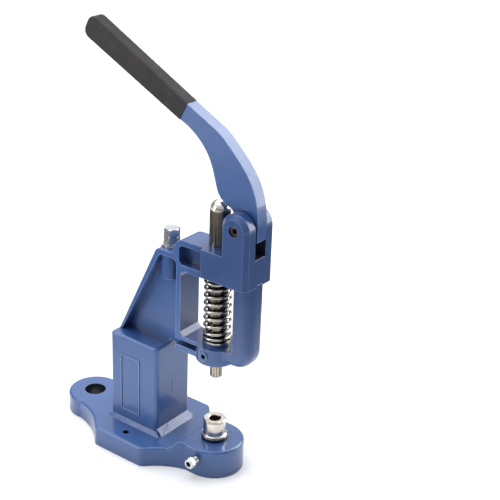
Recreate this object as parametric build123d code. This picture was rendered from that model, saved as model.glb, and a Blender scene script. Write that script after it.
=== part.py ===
from build123d import *
import math
import os

# Cam-lever hand press.  Millimetres, +Z up.  The ram slides on the Z axis and the
# underside of the base is z = 0.  The die side is -Y, the handle side is +Y.

# ---- base -------------------------------------------------------------------
DECK_T = 19.0            # thickness of the deck and of the rear ear
DECK_HALF_X = 50.0
DECK_FRONT_Y = 46.0
DECK_REAR_Y = 103.5
NOSE_R = 27.3            # round front boss that holds the die
NOSE_SIDE_Y = 12.0       # the boss sides run straight back to here
PAD_T = 27.4             # raised top of the front boss
PAD_REAR_Y = 19.0        # the pad ends here in a ramp down to the deck
EAR_Y = 150.0
EAR_R = 25.5
EAR_HOLE_R = 10.3
DECK_HOLE = (37.6, 75.0)
DECK_HOLE_R = 3.2
EDGE_R = 2.4             # rounding of the cast edges of the base

# ---- column -----------------------------------------------------------------
COL_HALF_X = 23.4
COL_FRONT_Y = 50.0
COL_REAR_Y = 106.5
COL_TOP_Z = 109.0
PLINTH = 3.2             # slope around the foot of the column
FRONT_PLINTH = 6.0       # larger slope along the front of the foot
CORE_HALF_X = 15.0       # hollow cast into the column from below
CORE_FRONT_Y = 60.0
CORE_REAR_Y = 96.0
CORE_TOP_Z = 96.0

# ---- upper frame ------------------------------------------------------------
RIB_HALF_X = 13.0        # half width of the ribs
WEB_HALF_X = 3.6         # half thickness of the web between them
RIB_T = 5.0
ARM_TOP_Z = 219.7
ARM_BOTTOM_Z = 190.5
WALL_Y = 32.0            # front face of the upright rib
LOW_ARM_TOP_Z = 126.0
LOW_ARM_BOTTOM_Z = 111.5
BOSS_BOTTOM_Z = 110.0
SEAT_Z = 204.0           # seat of the stop bolt
BOLT_Y = 53.0

# ---- head block and fork ----------------------------------------------------
BLOCK_HALF_X = 19.4
BLOCK_REAR_Y = 4.9
BLOCK_FRONT_Y = -43.4
BLOCK_BOTTOM_Z = 194.6
BLOCK_TOP_Z = 221.0
BLOCK_CHAMFER = 3.9
SLOT_HALF_X = 7.5
SLOT_DEEPER = 0.2        # floor of the fork slot below the top of the block
CHEEK_REAR_Y = -14.2
PIVOT_Y = -28.8
PIVOT_Z = 246.6
PIN_R = 4.95
LOW_BOSS_R = 18.5
BAR_HALF_X = 11.0
BAR_FRONT_Y = -43.6
BAR_REAR_Y = -25.0

# ---- ram, spring and cam ----------------------------------------------------
RAM_R = 9.0
RAM_FIT = 0.04           # radial running clearance of the ram in the casting
DOME_Z = 253.3           # centre of the ram's round top
TIP_R = 5.5
TIP_Z = 92.0
TIP_TOP_Z = 113.0
RAM_PER_RAD = 27.0       # ram travel for one radian of lever
LEVER_MAX = math.radians(66)
KEY_Z = 118.8
KEY_R = 2.4
SPRING_R = 11.3          # mean radius
WIRE_R = 1.35
SPRING_TURNS = 8.0
SPRING_FOOT_Z = 130.4
COLLAR_R = 12.4
COLLAR_SEAT_R = 12.9     # spot face under the head, and the boss around the ram
COLLAR_BOTTOM_Z = 190.0
COLLAR_TOP_Z = 194.3
COLLAR_MIDDLE_Z = (COLLAR_TOP_Z + COLLAR_BOTTOM_Z) / 2
COLLAR_PIN_R = 1.5

# ---- lever and grip ---------------------------------------------------------
LEVER_HALF_X = 6.0
HANDLE_ANGLE = 26.6      # degrees above level
HANDLE_START = (37.2, 332.2)
HANDLE_HALF = 8.5        # half depth of the straight bar
GRIP_LENGTH = 122.0
GRIP_HALF_START = 9.2
GRIP_HALF_END = 10.6
GRIP_HALF_X = 7.2

# ---- stop bolt, die holder and small parts ----------------------------------
BOLT_R = 4.0
BOLT_FOOT_Z = 180.0
HEX_AF = 13.0
HEAD_TURN = 26.0         # degrees from +X to a corner of the bolt head
NUT_TURN = 22.0
WASHER_T = 1.6
NUT_T = 8.0
HEAD_T = 7.0
NUT_FOOT_Z = SEAT_Z + WASHER_T
HEAD_FOOT_Z = NUT_FOOT_Z + NUT_T + 0.4
SOCKET_R = 5.15          # bore of the die holder
SOCKET_DEPTH = 20.0
HOLDER_R = 10.3
HOLDER_TOP_Z = 47.6
FLANGE_R = 11.8
FLANGE_T = 2.4
HOLDER_RING_T = 2.6
SHANK_R = 8.0
SHANK_FOOT_Z = 8.0
CLAMP_Y = -1.2
CLAMP_Z = 17.0
CLAMP_R = 3.0
TINY = 0.05


def cylinder(radius, low, high, x=0.0, y=0.0):
    """Upright cylinder between two heights."""
    body = Cylinder(radius, high - low, align=(Align.CENTER, Align.CENTER, Align.MIN))
    return Pos(x, y, low) * body


def cross_cylinder(radius, x_low, x_high, y, z):
    """Cylinder lying along X."""
    body = Cylinder(radius, x_high - x_low, align=(Align.CENTER, Align.CENTER, Align.MIN))
    return Pos(x_low, y, z) * Rot(0, 90, 0) * body


def block(x, y, z):
    """Box from three (low, high) pairs."""
    size = [high - low for low, high in (x, y, z)]
    middle = [(high + low) / 2 for low, high in (x, y, z)]
    return Pos(*middle) * Box(*size)


def side_plate(wire, half_x, corner=None):
    """Plate with a side-view outline in Y and Z, centred on x = 0."""
    plane = Plane(origin=(-half_x, 0, 0), x_dir=(0, 1, 0), z_dir=(1, 0, 0))
    face = make_face(wire)
    if corner:
        points, radius = corner
        near = [v for v in face.vertices() if any(math.dist((v.X, v.Y), p) < 0.1 for p in points)]
        face = fillet(near, radius)
    return extrude(plane * face, 2 * half_x)


def edges_where(body, test):
    return [edge for edge in body.edges() if test(edge)]


def is_circle(edge):
    return edge.geom_type == GeomType.CIRCLE


def at_height(z):
    """Test for the edges that lie flat at one height."""
    def test(edge):
        box = edge.bounding_box()
        return abs(box.min.Z - z) < 0.01 and abs(box.max.Z - z) < 0.01
    return test


# ---- frame casting ----------------------------------------------------------
def base_outline():
    """Plan outline of the base: round front boss, square deck and rear ear."""
    half = DECK_HALF_X
    path = ThreePointArc((-NOSE_R, 0), (0, -NOSE_R), (NOSE_R, 0))
    path += Line((NOSE_R, 0), (NOSE_R, NOSE_SIDE_Y))
    path += ThreePointArc((NOSE_R, NOSE_SIDE_Y), (34, 27.5), (half, DECK_FRONT_Y))
    path += Line((half, DECK_FRONT_Y), (half, DECK_REAR_Y))
    path += ThreePointArc((half, DECK_REAR_Y), (33.5, 123.5), (EAR_R, EAR_Y - 4))
    path += ThreePointArc((EAR_R, EAR_Y - 4), (0, EAR_Y + EAR_R), (-EAR_R, EAR_Y - 4))
    path += ThreePointArc((-EAR_R, EAR_Y - 4), (-33.5, 123.5), (-half, DECK_REAR_Y))
    path += Line((-half, DECK_REAR_Y), (-half, DECK_FRONT_Y))
    path += ThreePointArc((-half, DECK_FRONT_Y), (-34, 27.5), (-NOSE_R, NOSE_SIDE_Y))
    path += Line((-NOSE_R, NOSE_SIDE_Y), (-NOSE_R, 0))
    face = make_face(path)
    deck_corners = [v for v in face.vertices() if abs(abs(v.X) - half) < 0.1]
    face = fillet([v for v in deck_corners if v.Y > DECK_FRONT_Y + 9], 8)
    deck_corners = [v for v in face.vertices() if abs(abs(v.X) - half) < 0.1]
    face = fillet([v for v in deck_corners if v.Y < DECK_FRONT_Y + 9], 6.5)
    return fillet([v for v in face.vertices() if NOSE_SIDE_Y - 1 < v.Y < 30 or v.Y > 130], 3)


def base():
    outline = base_outline()
    deck = extrude(outline, DECK_T)
    deck = fillet(edges_where(deck, at_height(DECK_T)), EDGE_R)
    ramp_y = PAD_REAR_Y + (PAD_T - DECK_T)
    side = Polyline((-40, 0), (-40, PAD_T), (PAD_REAR_Y, PAD_T), (ramp_y, DECK_T), (ramp_y, 0), close=True)
    pad = extrude(outline, PAD_T) & side_plate(side, 60)
    pad = fillet(edges_where(pad, at_height(PAD_T)), EDGE_R)
    return deck + pad


def column():
    body = block((-COL_HALF_X, COL_HALF_X), (COL_FRONT_Y, COL_REAR_Y), (DECK_T - 1, COL_TOP_Z))
    body = fillet(body.edges().filter_by(Axis.Z), 3.6)
    body = fillet(edges_where(body, at_height(COL_TOP_Z)), 2.4)
    grown_x = COL_HALF_X + PLINTH
    grown_y = (COL_FRONT_Y - PLINTH, COL_REAR_Y + PLINTH)
    foot = block((-grown_x, grown_x), grown_y, (DECK_T - 1, DECK_T + PLINTH))
    foot = chamfer(edges_where(foot, at_height(DECK_T + PLINTH)), PLINTH - TINY)
    ramp_y = COL_FRONT_Y - FRONT_PLINTH
    ramp = Polyline(
        (COL_FRONT_Y + 2, DECK_T - 1), (ramp_y, DECK_T - 1), (ramp_y, DECK_T + TINY),
        (COL_FRONT_Y, DECK_T + FRONT_PLINTH), (COL_FRONT_Y + 2, DECK_T + FRONT_PLINTH), close=True,
    )
    return body + foot + side_plate(ramp, COL_HALF_X - 1)


def column_core():
    """Hollow that opens at the underside of the base."""
    core = block((-CORE_HALF_X, CORE_HALF_X), (CORE_FRONT_Y, CORE_REAR_Y), (-1, CORE_TOP_Z))
    core = fillet(core.edges().filter_by(Axis.Z), 5)
    return fillet(edges_where(core, at_height(CORE_TOP_Z)), 4)


def label_frame(side):
    """Raised border of the blank label panel on one side of the column."""
    low_y, high_y, low_z, high_z = 70.5, 93.5, 31.5, 90.0
    proud, border = 0.7, 1.1
    x = (side * (COL_HALF_X - 1), side * (COL_HALF_X + proud))
    outer = block((min(x), max(x)), (low_y, high_y), (low_z, high_z))
    inner = block(
        (min(x) - 1, max(x) + 1), (low_y + border, high_y - border), (low_z + border, high_z - border)
    )
    return outer - inner


def ribbed_frame():
    """C-shaped upper frame: back slope, bolt seat, top arm, upright rib and lower arm."""
    path = Polyline((106, COL_TOP_Z - 4), (59.7, SEAT_Z), (42, SEAT_Z), (40.5, 209))
    path += ThreePointArc((40.5, 209), (36.5, 216.5), (28, ARM_TOP_Z))
    path += Polyline(
        (28, ARM_TOP_Z), (0, ARM_TOP_Z), (0, ARM_BOTTOM_Z), (WALL_Y, ARM_BOTTOM_Z),
        (WALL_Y, LOW_ARM_TOP_Z + 4), (WALL_Y - 4, LOW_ARM_TOP_Z), (0, LOW_ARM_TOP_Z),
        (0, LOW_ARM_BOTTOM_Z), (COL_FRONT_Y + 2, LOW_ARM_BOTTOM_Z), (COL_FRONT_Y + 2, COL_TOP_Z - 4),
        (106, COL_TOP_Z - 4),
    )
    rounded = ([(59.7, SEAT_Z), (WALL_Y, ARM_BOTTOM_Z)], 6.0)
    body = side_plate(path, RIB_HALF_X, rounded)
    for side in (-1, 1):
        body -= Pos(side * (WEB_HALF_X + RIB_HALF_X), 0, 0) * rib_pockets()
    return body


def rib_pockets():
    """The three recesses beside the web, as one cutter on each side."""
    floor = COL_TOP_Z + 0.01
    inner = WALL_Y + RIB_T
    slope = Polyline(
        (101.5, floor), (56.4, SEAT_Z - RIB_T), (inner, SEAT_Z - RIB_T), (inner, floor),
        close=True,
    )
    triangle = side_plate(slope, RIB_HALF_X, ([(inner, SEAT_Z - RIB_T), (56.4, SEAT_Z - RIB_T)], 5.0))
    top, bottom = ARM_TOP_Z - 5.5, ARM_BOTTOM_Z + 5.6
    window = Polyline((0, bottom), (34.5, bottom), (34.5, top), (0, top), close=True)
    arm = side_plate(window, RIB_HALF_X, ([(34.5, bottom), (34.5, top)], 5.0))
    groove = Polyline((8, 116.6), (38, 116.6), (38, 122.4), (8, 122.4), close=True)
    low = side_plate(groove, RIB_HALF_X, ([(38, 116.6), (38, 122.4)], 2.8))
    return triangle + arm + low


def head_block():
    body = block(
        (-BLOCK_HALF_X, BLOCK_HALF_X), (BLOCK_FRONT_Y, BLOCK_REAR_Y), (BLOCK_BOTTOM_Z, BLOCK_TOP_Z)
    )
    arch_r = CHEEK_REAR_Y - PIVOT_Y
    foot = BLOCK_TOP_Z - 3
    path = Polyline(
        (CHEEK_REAR_Y, PIVOT_Z), (CHEEK_REAR_Y, foot), (BLOCK_FRONT_Y, foot), (BLOCK_FRONT_Y, PIVOT_Z)
    )
    crown = (PIVOT_Y, PIVOT_Z + arch_r)
    path += ThreePointArc((BLOCK_FRONT_Y, PIVOT_Z), crown, (CHEEK_REAR_Y, PIVOT_Z))
    body += side_plate(path, BLOCK_HALF_X)
    front = edges_where(body, lambda e: on_cheek_rim(e, arch_r))
    body = chamfer(front, BLOCK_CHAMFER)
    slot_y = (BLOCK_FRONT_Y - 5, CHEEK_REAR_Y + 5)
    slot_z = (BLOCK_TOP_Z - SLOT_DEEPER, PIVOT_Z + 30)
    return body - block((-SLOT_HALF_X, SLOT_HALF_X), slot_y, slot_z)


def on_cheek_rim(edge, arch_r):
    """Outer front edges of the block and the outer edges of the fork's round top."""
    middle = edge.center()
    if abs(abs(middle.X) - BLOCK_HALF_X) > 0.1:
        return False
    upright = abs(middle.Y - BLOCK_FRONT_Y) < 0.1
    box = edge.bounding_box()
    crown = box.max.Z > PIVOT_Z + arch_r - 1
    return (upright and box.max.Z - box.min.Z > 1) or crown


def front_bar():
    """Bar that joins the head block to the lower boss in front of the spring."""
    top = BLOCK_BOTTOM_Z + 2
    path = Polyline((0, LOW_ARM_TOP_Z), (BAR_REAR_Y, LOW_ARM_TOP_Z), (BAR_REAR_Y, top), (BAR_FRONT_Y, top))
    foot = LOW_ARM_BOTTOM_Z + 0.8
    path += Line((BAR_FRONT_Y, top), (BAR_FRONT_Y, foot + 20))
    path += ThreePointArc((BAR_FRONT_Y, foot + 20), (-38.2, foot + 6), (-24, foot))
    path += Polyline((-24, foot), (0, foot), (0, LOW_ARM_TOP_Z))
    body = side_plate(path, BAR_HALF_X)
    return fillet(edges_where(body, on_bar_front), 9.0)


def on_bar_front(edge):
    """The long outer edges that run down the bar's front and under its foot."""
    middle = edge.center()
    return abs(abs(middle.X) - BAR_HALF_X) < 0.1 and middle.Y < -30 and middle.Z < BLOCK_BOTTOM_Z


def lower_boss():
    body = cylinder(LOW_BOSS_R, BOSS_BOTTOM_Z, LOW_ARM_TOP_Z)
    body = fillet(edges_where(body, at_height(BOSS_BOTTOM_Z)), 1.5)
    body += cylinder(12.6, LOW_ARM_TOP_Z - 1, SPRING_FOOT_Z - 1.6)
    return body + cross_cylinder(4.6, -LOW_BOSS_R - 0.8, -LOW_BOSS_R + 3, 0, KEY_Z)


def frame_casting():
    body = base() + column() + ribbed_frame() + head_block() + front_bar() + lower_boss()
    body += cylinder(9.6, 174.5, SEAT_Z - 1, y=BOLT_Y)
    body += cylinder(COLLAR_SEAT_R, ARM_BOTTOM_Z, ARM_TOP_Z)
    body -= cylinder(COLLAR_SEAT_R, ARM_BOTTOM_Z - 5, BLOCK_BOTTOM_Z)
    body += label_frame(-1) + label_frame(1)
    body -= block((-3.0, -2.2), (COL_FRONT_Y - 1, COL_FRONT_Y + 0.6), (56, 70))
    body -= column_core()
    body -= cylinder(EAR_HOLE_R, -1, DECK_T + 1, y=EAR_Y)
    for side in (-1, 1):
        body -= cylinder(DECK_HOLE_R, -1, DECK_T + 1, side * DECK_HOLE[0], DECK_HOLE[1])
    body -= cylinder(RAM_R + RAM_FIT, 100, 140)
    body -= cylinder(RAM_R + RAM_FIT, 185, 240)
    body -= cylinder(SHANK_R + RAM_FIT, SHANK_FOOT_Z - 0.5, 40)
    body -= cylinder(BOLT_R + RAM_FIT, BOLT_FOOT_Z - 1.5, 230, y=BOLT_Y)
    body -= cross_cylinder(PIN_R, -40, 40, PIVOT_Y, PIVOT_Z)
    body -= cross_cylinder(KEY_R, -30, 0, 0, KEY_Z)
    body -= cross_cylinder(CLAMP_R + RAM_FIT, -40, -SHANK_R + 2, CLAMP_Y, CLAMP_Z)
    return body


# ---- lever ------------------------------------------------------------------
def handle_point(along, across):
    """Point on the straight handle: distance along it, and up from its centre line."""
    angle = math.radians(HANDLE_ANGLE)
    y = HANDLE_START[0] + along * math.cos(angle) - across * math.sin(angle)
    z = HANDLE_START[1] + along * math.sin(angle) + across * math.cos(angle)
    return (y, z)


def lever_arm():
    """Flat bar with a hooked nose; the nose's rear edge is the cam that pushes the ram."""
    nose = [(-43.9, 236.5), (-44.3, 250)]
    bend = [(-43.4, 262), (-40.2, 276), (-34.6, 288), (-24, 301.5), (-10, 315)]
    cam = [(-16.4, 259.7), (-9.2, 262.7), (-5.0, 266.0), (-2.5, 268.8), (0.7, 276.4)]
    rear = cam + [(3.6, 286), (9.3, 299.5), (18, 310.5)]
    path = Polyline(nose)
    front = [nose[-1]] + bend + [handle_point(-32, HANDLE_HALF)]
    path += Spline(front, tangents=[(0, 1), handle_direction()])
    path += Polyline(
        handle_point(-32, HANDLE_HALF), handle_point(GRIP_LENGTH - 5, HANDLE_HALF),
        handle_point(GRIP_LENGTH - 5, -HANDLE_HALF), handle_point(0, -HANDLE_HALF),
    )
    path += Spline([handle_point(0, -HANDLE_HALF)] + rear[::-1])
    path += Polyline(cam[0], (-19.5, 256), (-19.5, 241), (-24, 236.5), nose[0])
    body = side_plate(path, LEVER_HALF_X)
    return body - cross_cylinder(PIN_R + 0.06, -20, 20, PIVOT_Y, PIVOT_Z)


def handle_direction():
    angle = math.radians(HANDLE_ANGLE)
    return (math.cos(angle), math.sin(angle))


def grip_sleeve(lever):
    """Moulded sleeve that fits over the end of the bar."""
    end = GRIP_LENGTH
    path = Polyline(
        handle_point(0, -GRIP_HALF_START), handle_point(0, GRIP_HALF_START),
        handle_point(end, GRIP_HALF_END), handle_point(end, -GRIP_HALF_END), close=True,
    )
    tip = [handle_point(end, GRIP_HALF_END), handle_point(end, -GRIP_HALF_END)]
    body = side_plate(path, GRIP_HALF_X, (tip, 7.5))
    body = fillet(edges_where(body, on_grip_rim), 2.6)
    return body - lever


def on_grip_rim(edge):
    """The long side edges and the end of the grip, not its open end."""
    middle = edge.center()
    away = math.dist((middle.Y, middle.Z), handle_point(0, 0))
    return abs(middle.X) > 1 and away > 12


def pivot_pin():
    """Headless pin with a hexagon socket in its end."""
    pin = cross_cylinder(PIN_R, -BLOCK_HALF_X + 2.0, BLOCK_HALF_X - 2.0, PIVOT_Y, PIVOT_Z)
    pin = chamfer(edges_where(pin, lambda e: abs(e.center().X) > 15 and is_circle(e)), 0.7)
    socket = extrude(RegularPolygon(2.9, 6), 5)
    return pin - Pos(-BLOCK_HALF_X + 1.9, PIVOT_Y, PIVOT_Z) * Rot(0, 90, 0) * socket


def lever_side_washers():
    """Thin washers that centre the lever between the fork's cheeks."""
    thick = SLOT_HALF_X - LEVER_HALF_X - 0.1
    rings = []
    for side in (-1, 1):
        low = min(side * SLOT_HALF_X, side * (SLOT_HALF_X - thick))
        ring = cross_cylinder(8.5, low, low + thick, PIVOT_Y, PIVOT_Z)
        rings.append(ring - cross_cylinder(PIN_R, -20, 20, PIVOT_Y, PIVOT_Z))
    return Compound(children=rings)


# ---- ram group --------------------------------------------------------------
def ram():
    """Round bar with a domed top, a keyway and a thinner threaded tip."""
    body = cylinder(RAM_R, TIP_TOP_Z, DOME_Z) + Pos(0, 0, DOME_Z) * Sphere(RAM_R)
    tip = cylinder(TIP_R, TIP_Z, TIP_TOP_Z)
    body += chamfer(edges_where(tip, at_height(TIP_Z)), 0.8)
    travel = RAM_PER_RAD * LEVER_MAX
    body -= block((-RAM_R - 1, -RAM_R + 1.8), (-1.7, 1.7), (KEY_Z - 1.8, KEY_Z + travel + 3))
    body -= cylinder(3.4, TIP_Z - 1, TIP_Z + 16)
    return body - cross_cylinder(COLLAR_PIN_R, -20, 20, 0, COLLAR_MIDDLE_Z)


def spring_collar():
    body = cylinder(COLLAR_R, COLLAR_BOTTOM_Z, COLLAR_TOP_Z) - cylinder(RAM_R, 180, 200)
    return body - cross_cylinder(COLLAR_PIN_R, -20, 20, 0, COLLAR_MIDDLE_Z)


def collar_pin():
    return cross_cylinder(COLLAR_PIN_R, -COLLAR_R + 0.4, COLLAR_R - 0.4, 0, COLLAR_MIDDLE_Z)


def return_spring():
    """Compression spring with closed ends."""
    low = SPRING_FOOT_Z + WIRE_R
    high = COLLAR_BOTTOM_Z - WIRE_R
    coil = Helix((high - low) / SPRING_TURNS, high - low, SPRING_R)
    profile = Plane(origin=coil @ 0, z_dir=coil % 0) * Circle(WIRE_R)
    wire = Pos(0, 0, low) * sweep(profile, coil, is_frenet=True)
    return wire + end_ring(low) + end_ring(high)


def end_ring(z):
    return Pos(0, 0, z) * Torus(SPRING_R, WIRE_R)


def spring_washer():
    return cylinder(12.4, SPRING_FOOT_Z - 1.6, SPRING_FOOT_Z) - cylinder(RAM_R + 0.35, 120, 140)


def ram_key_screw():
    """Set screw whose nose runs in the ram's keyway."""
    body = cross_cylinder(KEY_R, -LOW_BOSS_R + 1.5, -RAM_R - 0.6, 0, KEY_Z)
    body += cross_cylinder(1.5, -RAM_R - 0.7, -RAM_R + 1.4, 0, KEY_Z)
    socket = extrude(RegularPolygon(1.45, 6), 3)
    return body - Pos(-LOW_BOSS_R + 1.4, 0, KEY_Z) * Rot(0, 90, 0) * socket


# ---- stop bolt --------------------------------------------------------------
def hexagon(thick, z, turn, both_ends):
    """Hexagon prism whose corners are turned off at the top, or at both ends."""
    body = extrude(Rot(0, 0, turn) * RegularPolygon(HEX_AF / 2, 6, major_radius=False), thick)
    face_r = HEX_AF / 2 + 0.1
    cone = Cone(face_r + 1.7 * thick, face_r, thick, align=(Align.CENTER, Align.CENTER, Align.MIN))
    body &= cone
    if both_ends:
        body &= Pos(0, 0, thick) * Rot(180, 0, 0) * cone
    return Pos(0, BOLT_Y, z) * body


def stop_washer():
    return cylinder(8.6, SEAT_Z, NUT_FOOT_Z, y=BOLT_Y) - cylinder(BOLT_R + 0.3, 190, 220, y=BOLT_Y)


def stop_lock_nut():
    nut = hexagon(NUT_T, NUT_FOOT_Z, NUT_TURN, True)
    return nut - cylinder(BOLT_R + 0.05, 190, 220, y=BOLT_Y)


def stop_bolt():
    head = hexagon(HEAD_T, HEAD_FOOT_Z, HEAD_TURN, False)
    return head + cylinder(BOLT_R, BOLT_FOOT_Z, HEAD_FOOT_Z + 1, y=BOLT_Y)


# ---- die holder -------------------------------------------------------------
def die_holder():
    """Turned socket for the lower die, with a grooved flange and a plain shank."""
    ring_top = PAD_T + HOLDER_RING_T
    body = cylinder(HOLDER_R, ring_top, HOLDER_TOP_Z)
    body = chamfer(edges_where(body, at_height(HOLDER_TOP_Z)), 0.7)
    flange = cylinder(FLANGE_R, ring_top, ring_top + FLANGE_T)
    flange = chamfer(edges_where(flange, at_height(ring_top + FLANGE_T)), 0.4)
    body = fillet(edges_where(body + flange, at_flange_root), 0.8)
    body += cylinder(SHANK_R, SHANK_FOOT_Z, ring_top + 1)
    for middle, depth_r in ((ring_top + 1.15, FLANGE_R - 0.5), (HOLDER_TOP_Z - 1.5, HOLDER_R - 0.4)):
        body -= cylinder(FLANGE_R + 1, middle - 0.2, middle + 0.2) - cylinder(depth_r, middle - 1, middle + 1)
    body -= cylinder(SOCKET_R, HOLDER_TOP_Z - SOCKET_DEPTH, HOLDER_TOP_Z + 1)
    rim = edges_where(body, lambda e: at_height(HOLDER_TOP_Z)(e) and e.length < 7 * SOCKET_R)
    return chamfer(rim, 0.8)


def at_flange_root(edge):
    """The inner corner between the holder's body and its flange."""
    return at_height(PAD_T + HOLDER_RING_T + FLANGE_T)(edge) and edge.length < 6.4 * HOLDER_R


def holder_ring():
    """Flat ring under the holder's flange."""
    ring = cylinder(FLANGE_R + 0.1, PAD_T, PAD_T + HOLDER_RING_T)
    return ring - cylinder(SHANK_R + 0.4, PAD_T - 1, PAD_T + 4)


def die_clamp_screw():
    """Socket head screw that clamps the holder's shank from the left side."""
    head_x = -NOSE_R - 5.2
    body = cross_cylinder(CLAMP_R, head_x, -SHANK_R - 0.15, CLAMP_Y, CLAMP_Z)
    for index in range(3):
        low = head_x + 0.8 + 1.2 * index
        cut = (low, low + 0.5, CLAMP_Y, CLAMP_Z)
        body -= cross_cylinder(5, *cut) - cross_cylinder(CLAMP_R - 0.35, *cut)
    head = cross_cylinder(4.9, head_x - 6, head_x, CLAMP_Y, CLAMP_Z)
    rim = edges_where(head, lambda e: e.center().X < head_x - 3 and is_circle(e))
    head = chamfer(rim, 0.6)
    socket = extrude(RegularPolygon(2.9, 6), 3.5)
    return body + head - Pos(head_x - 6.1, CLAMP_Y, CLAMP_Z) * Rot(0, 90, 0) * socket


def main():
    os.makedirs("parts", exist_ok=True)
    lever = lever_arm()
    pieces = {
        "frame_casting": frame_casting(),
        "lever_arm": lever,
        "grip_sleeve": grip_sleeve(lever),
        "pivot_pin": pivot_pin(),
        "lever_side_washers": lever_side_washers(),
        "ram": ram(),
        "spring_collar": spring_collar(),
        "collar_pin": collar_pin(),
        "return_spring": return_spring(),
        "spring_washer": spring_washer(),
        "ram_key_screw": ram_key_screw(),
        "stop_bolt": stop_bolt(),
        "stop_lock_nut": stop_lock_nut(),
        "stop_washer": stop_washer(),
        "die_holder": die_holder(),
        "holder_ring": holder_ring(),
        "die_clamp_screw": die_clamp_screw(),
    }
    for name, body in pieces.items():
        export_step(body, f"parts/{name}.step")


if __name__ == "__main__":
    main()
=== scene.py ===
"""Blender looks for the cam-lever hand press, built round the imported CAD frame.

The CAD nodes keep their shape and get procedural materials. Two of them are replaced by
pieces with more detail: the die clamp screw and the return spring.
"""

import math

import bmesh
import bpy
from mathutils import Matrix, Vector


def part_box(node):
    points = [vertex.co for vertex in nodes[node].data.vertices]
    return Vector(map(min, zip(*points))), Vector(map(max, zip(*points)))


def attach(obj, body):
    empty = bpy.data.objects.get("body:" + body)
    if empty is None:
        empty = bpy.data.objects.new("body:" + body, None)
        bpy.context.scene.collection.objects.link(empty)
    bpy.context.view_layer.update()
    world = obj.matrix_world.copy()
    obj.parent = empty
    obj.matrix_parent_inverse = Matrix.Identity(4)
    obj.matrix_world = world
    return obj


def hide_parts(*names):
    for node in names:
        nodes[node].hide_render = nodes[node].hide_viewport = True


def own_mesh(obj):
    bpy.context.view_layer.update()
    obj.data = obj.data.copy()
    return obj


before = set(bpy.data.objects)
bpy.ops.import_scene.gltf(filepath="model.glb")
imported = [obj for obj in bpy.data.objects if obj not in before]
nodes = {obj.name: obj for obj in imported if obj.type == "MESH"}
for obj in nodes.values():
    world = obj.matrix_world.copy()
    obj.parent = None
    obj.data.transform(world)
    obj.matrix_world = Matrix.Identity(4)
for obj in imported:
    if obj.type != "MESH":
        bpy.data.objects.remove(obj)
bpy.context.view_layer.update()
MM = 0.001


def link(thing):
    bpy.context.scene.collection.objects.link(thing)


# ---------------------------------------------------------------- camera
CAMERA_AT = Vector((-0.7517, -0.5852, 0.6518))
CAMERA_AZ = math.radians(-53.67)
CAMERA_EL = math.radians(24.57)
CAMERA_ROLL = math.radians(2.23)
LENS = 88.34
SENSOR = 36.0
CLIP_NEAR, CLIP_FAR = 0.01, 50


def make_camera():
    """Camera at the photo's viewpoint, turned by azimuth, elevation and roll."""
    back = Vector((math.sin(CAMERA_AZ) * math.cos(CAMERA_EL),
                   -math.cos(CAMERA_AZ) * math.cos(CAMERA_EL),
                   math.sin(CAMERA_EL)))
    level = Vector((math.cos(CAMERA_AZ), math.sin(CAMERA_AZ), 0))
    upright = back.cross(level)
    right = math.cos(CAMERA_ROLL) * level + math.sin(CAMERA_ROLL) * upright
    up = -math.sin(CAMERA_ROLL) * level + math.cos(CAMERA_ROLL) * upright
    data = bpy.data.cameras.new("camera")
    data.lens = LENS
    data.sensor_width = SENSOR
    data.clip_start = CLIP_NEAR
    data.clip_end = CLIP_FAR
    camera = bpy.data.objects.new("camera", data)
    turn = Matrix((right, up, back)).transposed().to_4x4()
    camera.matrix_world = Matrix.Translation(CAMERA_AT) @ turn
    link(camera)
    bpy.context.scene.camera = camera


# ---------------------------------------------------------------- light
SKY_STRENGTH = 0.72
SKY_BOTTOM = (0.16, 0.17, 0.19, 1)
SKY_TOP = (0.95, 0.97, 1.0, 1)
SKY_LEVELS = ((0.18, 0.22), (0.42, 0.62))      # height of the direction, grey level
SKY_BLUE = 1.03                                # blue over red in those levels
BACKDROP = (0.93, 0.93, 0.935, 1)

SUN_POWER = 2.05
SUN_ANGLE = math.radians(70)
SUN_TILT = (math.radians(-14), math.radians(6), 0)

# Each lamp is name, position, target, width and height, and power in watts.
LAMPS = (
    ("overhead", (0.15, 0.30, 1.5), (0, 0.05, 0.1), (1.1, 0.9), 5),
    ("left_key", (-1.0, 0.75, 0.50), (0, 0.05, 0.10), (0.5, 0.9), 4.6),
    ("front_fill", (0.35, -1.3, 0.75), (0, 0, 0.15), (0.5, 0.8), 0.4),
)
# The cards show only in reflections. All of them face the top of the ram.
CARD_TARGET = (0, 0, 0.28)
CARDS = (
    ("low_card", (0.88, -0.50, 0.42), CARD_TARGET, (0.80, 0.60), 8),
    ("high_card", (0.85, -0.22, 0.95), CARD_TARGET, (0.80, 0.60), 8),
    ("rear_card", (1.90, 1.40, 1.15), CARD_TARGET, (1.70, 0.80), 3.2),
)


def area_light(name, at, toward, size, power):
    data = bpy.data.lights.new(name, "AREA")
    data.shape = "RECTANGLE"
    data.size, data.size_y = size
    data.energy = power
    lamp = bpy.data.objects.new(name, data)
    lamp.location = at
    lamp.rotation_euler = (Vector(toward) - Vector(at)).to_track_quat("-Z", "Y").to_euler()
    link(lamp)
    return lamp


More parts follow.
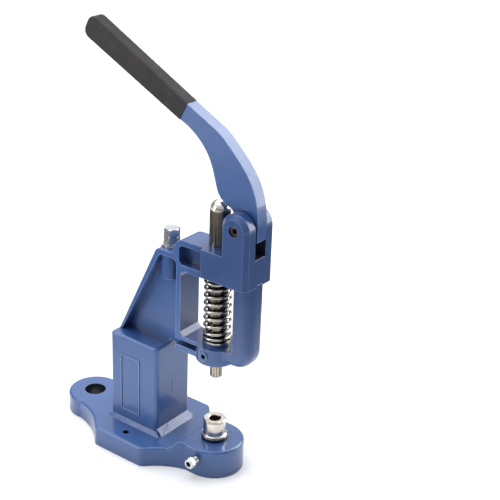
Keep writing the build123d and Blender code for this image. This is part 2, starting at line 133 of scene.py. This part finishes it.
def make_sky():
    """Soft sky that falls off to a darker horizon. The camera itself sees a plain pale backdrop."""
    world = bpy.data.worlds.new("studio")
    world.use_nodes = True
    tree = world.node_tree
    direction = tree.nodes.new("ShaderNodeTexCoord").outputs["Generated"]
    height = tree.nodes.new("ShaderNodeSeparateXYZ")
    tree.links.new(direction, height.inputs[0])
    ramp = tree.nodes.new("ShaderNodeValToRGB")
    bottom, top = ramp.color_ramp.elements
    bottom.position, bottom.color = 0.0, SKY_BOTTOM
    top.position, top.color = 1.0, SKY_TOP
    for place, level in SKY_LEVELS:
        element = ramp.color_ramp.elements.new(place)
        element.color = (level, level, level * SKY_BLUE, 1)
    tree.links.new(height.outputs["Z"], ramp.inputs["Fac"])
    sky = tree.nodes["Background"]
    tree.links.new(ramp.outputs["Color"], sky.inputs["Color"])
    sky.inputs["Strength"].default_value = SKY_STRENGTH
    backdrop = tree.nodes.new("ShaderNodeBackground")
    backdrop.inputs["Color"].default_value = BACKDROP
    seen = tree.nodes.new("ShaderNodeLightPath").outputs["Is Camera Ray"]
    either = tree.nodes.new("ShaderNodeMixShader")
    for socket, source in zip(either.inputs, (seen, sky.outputs[0], backdrop.outputs[0])):
        tree.links.new(source, socket)
    tree.links.new(either.outputs[0], tree.nodes["World Output"].inputs["Surface"])
    bpy.context.scene.world = world


def make_light():
    """Sky, a very soft sun, three area lamps and three cards."""
    make_sky()
    bpy.context.scene.view_settings.view_transform = "Standard"
    sun = bpy.data.lights.new("sky_sun", "SUN")
    sun.energy = SUN_POWER
    sun.angle = SUN_ANGLE
    sun_lamp = bpy.data.objects.new("sky_sun", sun)
    sun_lamp.rotation_euler = SUN_TILT
    link(sun_lamp)
    for lamp in LAMPS:
        area_light(*lamp)
    for card in CARDS:
        area_light(*card).visible_diffuse = False


# ---------------------------------------------------------------- floor
FLOOR_HALF = 6.0
FLOOR_Z = -0.2 * MM                            # just under the base, so the two never flicker
PAPER = (0.96, 0.96, 0.965, 1)
BLACK = (0, 0, 0, 1)


def make_floor():
    """White paper. In reflections it shows a darker ring round the press, as a studio does."""
    mesh = bpy.data.meshes.new("floor")
    half = FLOOR_HALF
    mesh.from_pydata([(-half, -half, 0), (half, -half, 0), (half, half, 0), (-half, half, 0)],
                     [], [(0, 1, 2, 3)])
    floor = bpy.data.objects.new("floor", mesh)
    floor.location.z = FLOOR_Z
    link(floor)
    m = Maker("floor")
    away = m.add("ShaderNodeVectorMath", operation="LENGTH")
    m.feed(away.inputs[0], m.place)
    inner = m.ramp(away.outputs["Value"], 0.20, 0.42, 0.0, 0.97)
    outer = m.ramp(away.outputs["Value"], 0.56, 0.90, 1.0, 0.35)
    glossy = m.add("ShaderNodeLightPath").outputs["Is Glossy Ray"]
    m.set(Base_Color=m.mix(m.product(inner, outer, glossy), PAPER, BLACK))
    m.set(Roughness=0.7, Specular_IOR_Level=0.0)
    mesh.materials.append(m.material)


# ---------------------------------------------------------------- material helpers
MIX_AMOUNT, MIX_FIRST, MIX_SECOND, MIX_RESULT = 0, 6, 7, 2     # colour sockets of the Mix node
BEVEL_SAMPLES = 4
AO_SAMPLES = 6


class Maker:
    """Adds nodes to one material with few words."""

    def __init__(self, name):
        self.material = bpy.data.materials.new(name)
        self.material.use_nodes = True
        self.tree = self.material.node_tree
        self.shader = self.tree.nodes["Principled BSDF"]
        self.place = self.add("ShaderNodeTexCoord").outputs["Object"]

    def add(self, kind, **values):
        made = self.tree.nodes.new(kind)
        for key, value in values.items():
            setattr(made, key, value)
        return made

    def feed(self, socket, value):
        """Link an output to the socket, or set a constant on it."""
        if hasattr(value, "is_output"):
            self.tree.links.new(value, socket)
        else:
            socket.default_value = value

    def set(self, **values):
        """Feed the shader's own sockets, with _ for a space in their names."""
        for key, value in values.items():
            self.feed(self.shader.inputs[key.replace("_", " ")], value)

    def noise(self, per_metre, detail=3.0, roughness=0.55, stretch=(1, 1, 1)):
        mapping = self.add("ShaderNodeMapping")
        self.feed(mapping.inputs["Vector"], self.place)
        mapping.inputs["Scale"].default_value = stretch
        made = self.add("ShaderNodeTexNoise")
        self.feed(made.inputs["Vector"], mapping.outputs["Vector"])
        made.inputs["Scale"].default_value = per_metre
        made.inputs["Detail"].default_value = detail
        made.inputs["Roughness"].default_value = roughness
        return made.outputs["Fac"]

    def ramp(self, value, low, high, out_low=0.0, out_high=1.0):
        """Smooth step from out_low at low to out_high at high."""
        made = self.add("ShaderNodeMapRange", interpolation_type="SMOOTHSTEP")
        self.feed(made.inputs["Value"], value)
        made.inputs["From Min"].default_value = low
        made.inputs["From Max"].default_value = high
        made.inputs["To Min"].default_value = out_low
        made.inputs["To Max"].default_value = out_high
        return made.outputs["Result"]

    def mix(self, amount, first, second):
        made = self.add("ShaderNodeMix", data_type="RGBA")
        self.feed(made.inputs[MIX_AMOUNT], amount)
        self.feed(made.inputs[MIX_FIRST], first)
        self.feed(made.inputs[MIX_SECOND], second)
        return made.outputs[MIX_RESULT]

    def math(self, operation, first, second):
        made = self.add("ShaderNodeMath", operation=operation)
        self.feed(made.inputs[0], first)
        self.feed(made.inputs[1], second)
        return made.outputs[0]

    def product(self, first, *others):
        for other in others:
            first = self.math("MULTIPLY", first, other)
        return first

    def place_parts(self):
        """X, Y and Z of the shaded point."""
        parts = self.add("ShaderNodeSeparateXYZ")
        self.feed(parts.inputs[0], self.place)
        return parts.outputs

    def in_bore(self, x, y, radius):
        """1 inside an upright bore."""
        flat = self.add("ShaderNodeVectorMath", operation="MULTIPLY_ADD")
        self.feed(flat.inputs[0], self.place)
        flat.inputs[1].default_value = (1, 1, 0)
        flat.inputs[2].default_value = (-x, -y, 0)
        away = self.add("ShaderNodeVectorMath", operation="LENGTH")
        self.feed(away.inputs[0], flat.outputs["Vector"])
        return self.math("LESS_THAN", away.outputs["Value"], radius)

    def in_box(self, low, high):
        """1 inside an upright box."""
        inside = 1.0
        for part, bottom, top in zip(self.place_parts(), low, high):
            over = self.math("GREATER_THAN", part, bottom)
            under = self.math("LESS_THAN", part, top)
            inside = self.product(over, under, inside)
        return inside

    def round_normal(self, radius):
        made = self.add("ShaderNodeBevel", samples=BEVEL_SAMPLES)
        made.inputs["Radius"].default_value = radius
        return made.outputs["Normal"]

    def edge(self, radius, low, high):
        """1 on sharp edges and 0 on flats."""
        flat = self.add("ShaderNodeNewGeometry").outputs["Normal"]
        dot = self.add("ShaderNodeVectorMath", operation="DOT_PRODUCT")
        self.feed(dot.inputs[0], self.round_normal(radius))
        self.feed(dot.inputs[1], flat)
        away = self.math("SUBTRACT", 1.0, dot.outputs["Value"])
        return self.ramp(away, low, high)

    def open_air(self, distance, low, high):
        """0 in corners and recesses, 1 in the open."""
        made = self.add("ShaderNodeAmbientOcclusion", samples=AO_SAMPLES)
        made.inputs["Distance"].default_value = distance
        return self.ramp(made.outputs["AO"], low, high)

    def closed_in(self, distance, low, high):
        """1 in corners and recesses, 0 in the open."""
        return self.math("SUBTRACT", 1.0, self.open_air(distance, low, high))

    def bump(self, height, distance, strength, normal):
        made = self.add("ShaderNodeBump")
        made.inputs["Strength"].default_value = strength
        made.inputs["Distance"].default_value = distance
        self.feed(made.inputs["Height"], height)
        self.feed(made.inputs["Normal"], normal)
        return made.outputs["Normal"]


# ---------------------------------------------------------------- materials
ENAMEL_DEEP = (0.032, 0.095, 0.285, 1)
ENAMEL_BODY = (0.040, 0.112, 0.325, 1)
ENAMEL_SHADE = (0.008, 0.024, 0.090, 1)
ENAMEL_EDGE_HIGHLIGHT = (0.30, 0.42, 0.72, 1)
HOLE_SHADE = (0.010, 0.012, 0.018, 1)
SHADE_AMOUNT, HEAD_SHADE_AMOUNT, HOLE_SHADE_AMOUNT = 0.72, 0.45, 0.88
HEAD_BOTTOM_Z = (95 * MM, 150 * MM)            # the head's painted shade fades in between these
HEAD_REAR_Y = (5 * MM, 30 * MM)                # and fades out between these

METAL_SHADE = (0.030, 0.027, 0.024, 1)
METAL_SHADE_REACH = 5 * MM
METAL_EDGE = 0.3 * MM                          # radius that the bevel shading gives metal edges

NICKEL = ((0.84, 0.78, 0.70, 1), (0.58, 0.53, 0.47, 1))        # bright, dull
SPRING = ((0.80, 0.76, 0.70, 1), (0.50, 0.47, 0.43, 1))
ZINC = ((0.84, 0.86, 0.87, 1), (0.64, 0.66, 0.69, 1))
RAM_OILY = (0.10, 0.09, 0.075, 1)
RAM_BARE = (0.52, 0.47, 0.39, 1)
RAM_DOME = (0.90, 0.87, 0.80, 1)
BLACK_OXIDE = ((0.012, 0.012, 0.014, 1), (0.035, 0.035, 0.04, 1))      # low, high
PIN_STEEL = ((0.07, 0.055, 0.05, 1), (0.20, 0.16, 0.15, 1))

GRIP_LOW = (0.039, 0.036, 0.037, 1)
GRIP_HIGH = (0.047, 0.044, 0.045, 1)
GRIP_SCUFF = (0.10, 0.09, 0.09, 1)
GRIP_EDGE_HIGHLIGHT = (0.13, 0.12, 0.12, 1)
SCUFF_AMOUNT, EDGE_HIGHLIGHT_AMOUNT = 0.35, 0.42


def blue_enamel(bores=(), boxes=(), head=False):
    """Glossy enamel on a casting.

    bores, as (x, y, radius), and boxes, as (low, high), get near-black painted shade. With head,
    painted shade also darkens the casting's head and front bar.
    """
    m = Maker("blue_enamel")
    mottle = m.noise(34, 4)
    color = m.mix(m.ramp(mottle, 0.2, 0.8), ENAMEL_DEEP, ENAMEL_BODY)
    shade = m.closed_in(45 * MM, 0.20, 0.90)
    color = m.mix(m.product(shade, SHADE_AMOUNT), color, ENAMEL_SHADE)
    # painted highlight: sharp outer edges are lightened, broken up by noise
    edges = m.edge(1.3 * MM, 0.008, 0.14)
    proud = m.open_air(3.0 * MM, 0.72, 0.95)
    patchy = m.ramp(m.noise(90, 3), 0.2, 0.6, 0.55, 0.85)
    color = m.mix(m.product(edges, proud, patchy), color, ENAMEL_EDGE_HIGHLIGHT)
    # painted shade: the head and front bar are darkened
    if head:
        _, y, z = m.place_parts()
        up = m.ramp(z, *HEAD_BOTTOM_Z)
        front = m.ramp(y, *HEAD_REAR_Y, 1.0, 0.0)
        color = m.mix(m.product(up, front, HEAD_SHADE_AMOUNT), color, ENAMEL_SHADE)
    # painted shade: the bores and the slot box get a near-black colour
    shaded_holes = [m.in_bore(*bore) for bore in bores] + [m.in_box(*box) for box in boxes]
    for inside in shaded_holes:
        color = m.mix(m.product(inside, HOLE_SHADE_AMOUNT), color, HOLE_SHADE)
    waves, peel = m.noise(60, 2), m.noise(420, 2)
    normal = m.bump(waves, 0.5 * MM, 0.6, m.round_normal(0.6 * MM))
    normal = m.bump(peel, 0.12 * MM, 0.5, normal)
    m.set(Base_Color=color, Roughness=m.ramp(mottle, 0.2, 0.8, 0.30, 0.38), Normal=normal)
    m.set(Coat_Weight=0.6, Coat_Roughness=0.05, Coat_Normal=normal)
    return m.material


def plated(name, tints, rough, shade_low=0.15, shade_high=0.80):
    """Plated metal: cloudy tint, fine polishing marks, and painted shade in corners."""
    m = Maker(name)
    bright, dull = tints
    marks = m.noise(500, 2, 0.6)
    color = m.mix(m.ramp(m.noise(70, 4), 0.35, 0.7), dull, bright)
    # painted shade: corners and recesses are darkened
    painted_shade = m.closed_in(METAL_SHADE_REACH, shade_low, shade_high)
    m.set(Base_Color=m.mix(painted_shade, color, METAL_SHADE), Metallic=1.0)
    m.set(Roughness=m.ramp(marks, 0.25, 0.75, rough * 0.75, rough * 1.3))
    m.set(Normal=m.bump(marks, 0.01 * MM, 0.4, m.round_normal(METAL_EDGE)))
    return m.material


def ram_steel(shoulder_z):
    """Ground bar with oily streaks along its length, and a polished dome above shoulder_z."""
    m = Maker("ram_steel")
    streaks = m.noise(700, 3, 0.6, (1, 1, 0.03))
    color = m.mix(m.ramp(streaks, 0.38, 0.62), RAM_OILY, RAM_BARE)
    dome = m.ramp(m.place_parts()["Z"], shoulder_z, shoulder_z + 2 * MM)
    color = m.mix(dome, color, RAM_DOME)
    # painted shade: corners and recesses, such as inside the spring, are darkened
    painted_shade = m.closed_in(METAL_SHADE_REACH, 0.05, 0.50)
    m.set(Base_Color=m.mix(painted_shade, color, METAL_SHADE), Metallic=1.0)
    m.set(Roughness=m.ramp(streaks, 0.3, 0.7, 0.30, 0.18))
    m.set(Normal=m.bump(streaks, 0.02 * MM, 0.5, m.round_normal(METAL_EDGE)))
    return m.material


def black_steel(name, tints):
    """Dark oxide with a fine cloudy texture."""
    m = Maker(name)
    cloud = m.noise(300, 4)
    m.set(Base_Color=m.mix(m.ramp(cloud, 0.3, 0.7), *tints))
    m.set(Metallic=0.7, Roughness=m.ramp(cloud, 0.3, 0.7, 0.28, 0.45))
    m.set(Normal=m.bump(cloud, 0.03 * MM, 0.6, m.round_normal(METAL_EDGE)))
    return m.material


def black_grip():
    """Moulded rubber: pebbled skin, scuffs along the handle, and a painted highlight along the
    edges.
    """
    m = Maker("black_grip")
    grain = m.noise(1500, 3, 0.7)
    pebble = m.noise(420, 2, 0.5)
    color = m.mix(m.ramp(m.noise(80, 4), 0.3, 0.7), GRIP_LOW, GRIP_HIGH)
    scuffs = m.ramp(m.noise(260, 4, 0.7, (1.0, 0.25, 0.25)), 0.56, 0.74)
    color = m.mix(m.product(scuffs, SCUFF_AMOUNT), color, GRIP_SCUFF)
    # painted highlight: the grip's edges are lightened
    edge_highlight = m.edge(1.2 * MM, 0.01, 0.12)
    color = m.mix(m.product(edge_highlight, EDGE_HIGHLIGHT_AMOUNT), color, GRIP_EDGE_HIGHLIGHT)
    m.set(Base_Color=color, Specular_IOR_Level=0.15)
    m.set(Roughness=m.ramp(grain, 0.3, 0.7, 0.52, 0.70))
    normal = m.bump(pebble, 0.16 * MM, 0.7, m.round_normal(0.6 * MM))
    m.set(Normal=m.bump(grain, 0.06 * MM, 0.7, normal))
    return m.material


def dress(node, material):
    """Give a CAD node a material in place of the frame's plain one."""
    mesh = nodes[node].data
    mesh.materials.clear()
    mesh.materials.append(material)


# ---------------------------------------------------------------- new meshes
def skin(work, loops, smooth=False):
    """Close a row of vertex loops into one skin with a cap at each end."""
    count = len(loops[0])
    for first, second in zip(loops, loops[1:]):
        for step in range(count):
            after = (step + 1) % count
            face = work.faces.new((first[step], first[after], second[after], second[step]))
            face.smooth = smooth
    work.faces.new(list(reversed(loops[0])))
    work.faces.new(loops[-1])
    bmesh.ops.recalc_face_normals(work, faces=work.faces)


def new_piece(name, work, material):
    """Make an object of the mesh that is being built."""
    mesh = bpy.data.meshes.new(name)
    work.to_mesh(mesh)
    work.free()
    mesh.materials.append(material)
    piece = bpy.data.objects.new(name, mesh)
    link(piece)
    return piece


# ---------------------------------------------------------------- clamp screw
# Sizes of the clamp screw are in millimetres.
SCREW_HEAD = 6.0                               # length of the head
SCREW_HEAD_R = 4.86
SCREW_SOCKET = 3.4                             # depth of the hexagon socket
SCREW_SOCKET_R = 2.5                           # to the flats
SCREW_SHANK_R = 2.98
SCREW_NECK_R = SCREW_SHANK_R - 0.5
SCREW_PITCH = 1.0
THREAD_DEPTH = 0.55
THREAD_STEPS = 8                               # rings for one pitch
THREAD_START, THREAD_END = 1.0, 1.2            # plain lengths behind the head and at the tip
KNURL_DEPTH = 0.32
KNURL_COUNT = 24
SCREW_SIDES = 96


def plain(radius):
    return lambda turn: radius


def knurled(outer, depth, count):
    return lambda turn: outer - depth * (0.5 + 0.5 * math.cos(math.radians(turn * count)))


def hexagonal(half_flats):
    return lambda turn: half_flats / math.cos(math.radians(turn % 60 - 30))


def threaded(outer, depth, height, pitch):
    """One V thread, as a radius that depends on the height and the angle."""
    def radius(turn):
        phase = (height / pitch + turn / 360) % 1.0
        return outer - depth * abs(2 * phase - 1)
    return radius


def screw_rings(length):
    """Rings from the socket's floor to the tip, each a height and a radius for an angle."""
    socket = hexagonal(SCREW_SOCKET_R)
    knurl = knurled(SCREW_HEAD_R, KNURL_DEPTH, KNURL_COUNT)
    rings = [(SCREW_SOCKET, socket),
             (0.0, socket),
             (0.0, plain(SCREW_HEAD_R - 1.3)),
             (0.12, plain(SCREW_HEAD_R - 0.75)),
             (0.75, plain(SCREW_HEAD_R - 0.1)),
             (1.1, knurl),
             (SCREW_HEAD - 0.8, knurl),
             (SCREW_HEAD - 0.4, plain(SCREW_HEAD_R - 0.2)),
             (SCREW_HEAD, plain(SCREW_HEAD_R - 0.6)),
             (SCREW_HEAD, plain(SCREW_NECK_R)),
             (SCREW_HEAD + THREAD_START, plain(SCREW_NECK_R))]
    height = SCREW_HEAD + THREAD_START
    while height < length - THREAD_END:
        rings.append((height, threaded(SCREW_SHANK_R, THREAD_DEPTH, height, SCREW_PITCH)))
        height += SCREW_PITCH / THREAD_STEPS
    rings += [(length - 1.0, plain(SCREW_NECK_R)), (length, plain(SCREW_SHANK_R - 1.0))]
    return rings


def make_clamp_screw(material):
    """Knurled socket head screw with a real thread, in the place of the CAD screw."""
    low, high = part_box("die_clamp_screw")
    middle = [(a + b) / 2 for a, b in zip(low, high)]
    work = bmesh.new()
    loops = []
    for height, radius in screw_rings((high[0] - low[0]) / MM):
        loop = []
        for step in range(SCREW_SIDES):
            turn = 360.0 * step / SCREW_SIDES
            angle = math.radians(turn)
            r = radius(turn) * MM
            loop.append(work.verts.new((r * math.cos(angle), r * math.sin(angle), height * MM)))
        loops.append(loop)
    skin(work, loops)
    lie_down = Matrix.Rotation(math.pi / 2, 4, "Y")
    place = Matrix.Translation((low[0], middle[1], middle[2])) @ lie_down
    bmesh.ops.transform(work, matrix=place, verts=work.verts)
    screw = new_piece("clamp_screw_detail", work, material)
    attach(screw, "clamp_screw")
    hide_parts("die_clamp_screw")


# ---------------------------------------------------------------- return spring
WIRE_R = 1.33 * MM
COIL_R = 11.3 * MM                             # to the middle of the wire
COIL_TURNS = 9.2
COIL_STEPS = 60                                # rings for one turn
WIRE_SIDES = 14


def spring_line(low, high):
    """Heights along the coil: a closed turn at each end, and even turns between them."""
    rise = high - low - 4.0 * WIRE_R
    heights = []
    for index in range(int(COIL_TURNS * COIL_STEPS) + 1):
        turn = index / COIL_STEPS
        closed_low = min(turn, 1.0)
        closed_high = max(turn - (COIL_TURNS - 1.0), 0.0)
        active = min(max(turn - 1.0, 0.0), COIL_TURNS - 2.0) / (COIL_TURNS - 2.0)
        heights.append(low + (closed_low + closed_high) * 2.0 * WIRE_R + active * rise)
    return heights


def make_spring(material):
    """Coil with closed ends."""
    box_low, box_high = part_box("return_spring")
    low, high = box_low[2], box_high[2]
    heights = spring_line(low + WIRE_R, high - WIRE_R)
    work = bmesh.new()
    loops = []
    for index, z in enumerate(heights):
        angle = math.tau * index / COIL_STEPS
        out = Vector((math.cos(angle), math.sin(angle), 0))
        after = heights[min(index + 1, len(heights) - 1)]
        before = heights[max(index - 1, 0)]
        slope = (after - before) / (2 * COIL_R * math.tau / COIL_STEPS)
        along = Vector((-math.sin(angle), math.cos(angle), slope)).normalized()
        across = along.cross(out)
        middle = out * COIL_R + Vector((0, 0, z))
        loop = []
        for side in range(WIRE_SIDES):
            around = math.tau * side / WIRE_SIDES
            offset = out * math.cos(around) + across * math.sin(around)
            loop.append(work.verts.new(middle + offset * WIRE_R))
        loops.append(loop)
    skin(work, loops, smooth=True)
    spring = new_piece("spring_coil", work, material)
    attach(spring, "press_frame")
    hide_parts("return_spring")
    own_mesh(spring)


# ---------------------------------------------------------------- build
# Places of the casting that get near-black painted shade, a hair larger than the CAD holes: the
# bench bolt's hole and the two deck holes, as x, y and radius, and the fork slot's box.
SHADED_BORES = ((0.0, 0.150, 10.36 * MM), (-0.0376, 0.075, 3.26 * MM), (0.0376, 0.075, 3.26 * MM))
FORK_SLOT = ((-7.56 * MM, -42.6 * MM, 220.2 * MM), (7.56 * MM, -14.4 * MM, 262 * MM))
RAM_R = 9.0 * MM

make_camera()
make_light()
make_floor()

nickel = plated("nickel_plate", NICKEL, 0.15)
spring_plate = plated("spring_plate", SPRING, 0.15, 0.30, 0.95)
zinc = plated("zinc_plate", ZINC, 0.30)
dark = black_steel("black_steel", BLACK_OXIDE)
dome_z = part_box("ram")[1][2] - RAM_R
finishes = (
    (blue_enamel(SHADED_BORES, (FORK_SLOT,), head=True), ("frame_casting",)),
    (blue_enamel(), ("lever_arm",)),
    (ram_steel(dome_z), ("ram",)),
    (spring_plate, ("return_spring",)),
    (nickel, ("spring_collar", "spring_washer", "die_holder")),
    (zinc, ("stop_bolt", "stop_lock_nut", "stop_washer", "die_clamp_screw", "lever_side_washers")),
    (dark, ("collar_pin", "ram_key_screw", "holder_ring")),
    (black_steel("pin_steel", PIN_STEEL), ("pivot_pin",)),
    (black_grip(), ("grip_sleeve",)),
)
for material, names in finishes:
    for name in names:
        dress(name, material)
make_clamp_screw(zinc)
make_spring(spring_plate)
